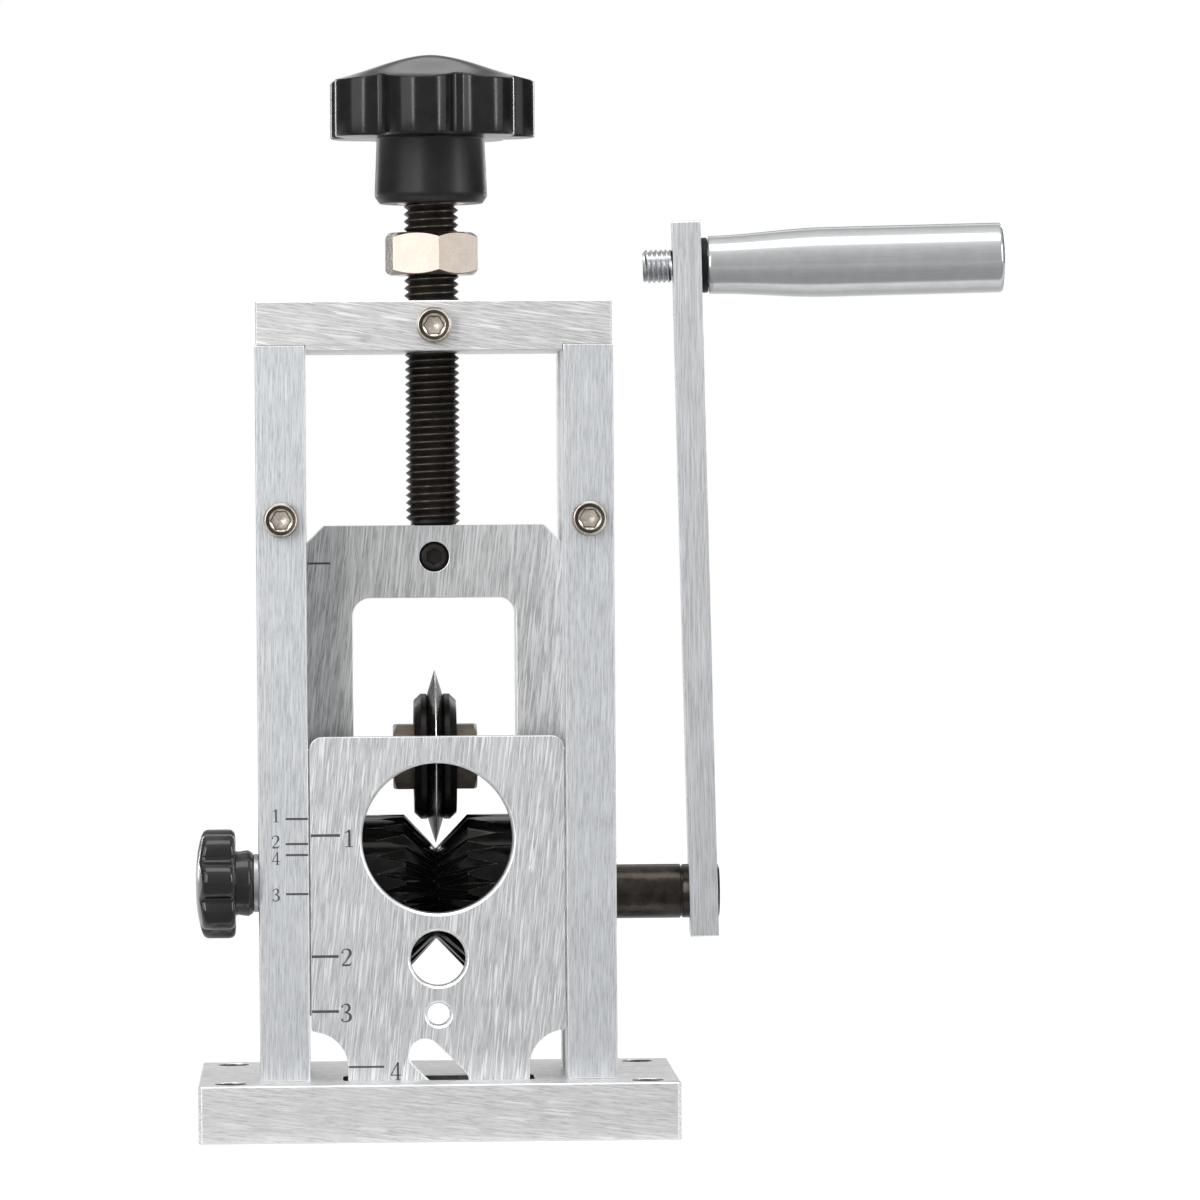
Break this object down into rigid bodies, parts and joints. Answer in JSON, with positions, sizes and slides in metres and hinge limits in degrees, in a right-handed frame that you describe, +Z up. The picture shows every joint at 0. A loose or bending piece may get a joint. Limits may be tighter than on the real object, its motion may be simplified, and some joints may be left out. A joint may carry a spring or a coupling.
{
  "type": "hand crank wire stripper",
  "caption": "Bench wire stripper: a crank turns toothed feed wheels that pull cable through a sliding guide plate and under a disc blade whose height a star knob sets.",
  "frame": {"origin": "centre of the four bench bolt holes, on the underside of the base plate", "axes": "+X towards the crank's handle, +Y from the feed side to the outlet side, +Z up"},
  "size_m": [0.1648, 0.06, 0.2177],
  "materials": {
    "brushed_aluminium": "brushed, with bright chamfers",
    "nickel_steel": "nickel plated, warm grey",
    "zinc_steel": "bright zinc, slightly blue, brushed",
    "bronze": "sintered bronze, dull",
    "insert_brass": "turned",
    "black_oxide_steel": "black oxide, oiled, brownish where it catches the light",
    "blade_steel": "ground, with a bright bevel",
    "black_knob_plastic": "moulded, glossy",
    "black_nylon": "moulded",
    "polished_chrome": "polished"
  },
  "bodies": {
    "frame": {"base_plate": "brushed_aluminium", "left_rail": "brushed_aluminium", "right_rail": "brushed_aluminium", "left_side_plate": "brushed_aluminium", "right_side_plate": "brushed_aluminium", "top_beam": "brushed_aluminium", "rail_screws": "nickel_steel", "beam_lock_screw": "nickel_steel", "beam_screws": "nickel_steel", "base_screws": "nickel_steel", "left_bush": "bronze", "right_bush": "bronze"},
    "carrier": {"blade_carrier": "brushed_aluminium", "keeper_screw": "black_oxide_steel"},
    "lead": {"lead_screw": "black_oxide_steel", "star_knob": "black_knob_plastic", "knob_insert": "insert_brass"},
    "nut": {"lock_nut": "nickel_steel"},
    "blade": {"stripping_blade": "blade_steel", "blade_collars": "black_oxide_steel", "blade_nuts": "black_oxide_steel", "blade_axle": "blade_steel"},
    "guide": {"guide_plate": "brushed_aluminium"},
    "side_washer": {"lock_washer": "zinc_steel"},
    "side_knob": {"lock_knob": "black_knob_plastic", "lock_stud": "zinc_steel"},
    "crank": {"drive_shaft": "black_oxide_steel", "left_feed_wheel": "black_oxide_steel", "right_feed_wheel": "black_oxide_steel", "wheel_set_screws": "black_oxide_steel", "crank_arm": "zinc_steel", "arm_set_screw": "black_oxide_steel", "handle_spindle": "zinc_steel", "handle_washer": "black_nylon"},
    "grip": {"handle_grip": "polished_chrome"}
  },
  "joints": [
    {"name": "lead_turn", "type": "hinge", "parent": "carrier", "child": "lead", "pos_m": [0, 0.004, 0.1223], "axis": [0, 0, 1], "range_deg": [-144, 8160]},
    {"name": "carrier_slide", "type": "slide", "parent": "frame", "child": "carrier", "axis": [0, 0, 1], "range_m": [-0.0006, 0.034]},
    {"name": "nut_slide", "type": "slide", "parent": "frame", "child": "nut", "axis": [0, 0, 1], "range_m": [-0.0055, 0.0046]},
    {"name": "blade_turn", "type": "hinge", "parent": "carrier", "child": "blade", "pos_m": [0, 0.004, 0.0754], "axis": [1, 0, 0], "continuous": true},
    {"name": "guide_slide", "type": "slide", "parent": "frame", "child": "guide", "axis": [0, 0, 1], "range_m": [0, 0.077]},
    {"name": "side_turn", "type": "hinge", "parent": "side_washer", "child": "side_knob", "pos_m": [-0.0369, -0.0167, 0.0511], "axis": [-1, 0, 0], "range_deg": [0, 1350]},
    {"name": "side_slide", "type": "slide", "parent": "frame", "child": "side_washer", "axis": [-1, 0, 0], "range_m": [0, 0.003]},
    {"name": "crank_turn", "type": "hinge", "parent": "frame", "child": "crank", "pos_m": [0, 0.004, 0.0476], "axis": [1, 0, 0], "continuous": true},
    {"name": "grip_turn", "type": "hinge", "parent": "crank", "child": "grip", "pos_m": [0.08619, 0.00294, 0.17534], "axis": [0.9993, -0.0331, 0.0192], "continuous": true}
  ],
  "couplings": [
    {"joint": "lead_turn", "follows": "carrier_slide", "rad_per_m": 4188.8},
    {"joint": "side_slide", "follows": "side_turn", "m_per_rad": 0.00012732}
  ]
}
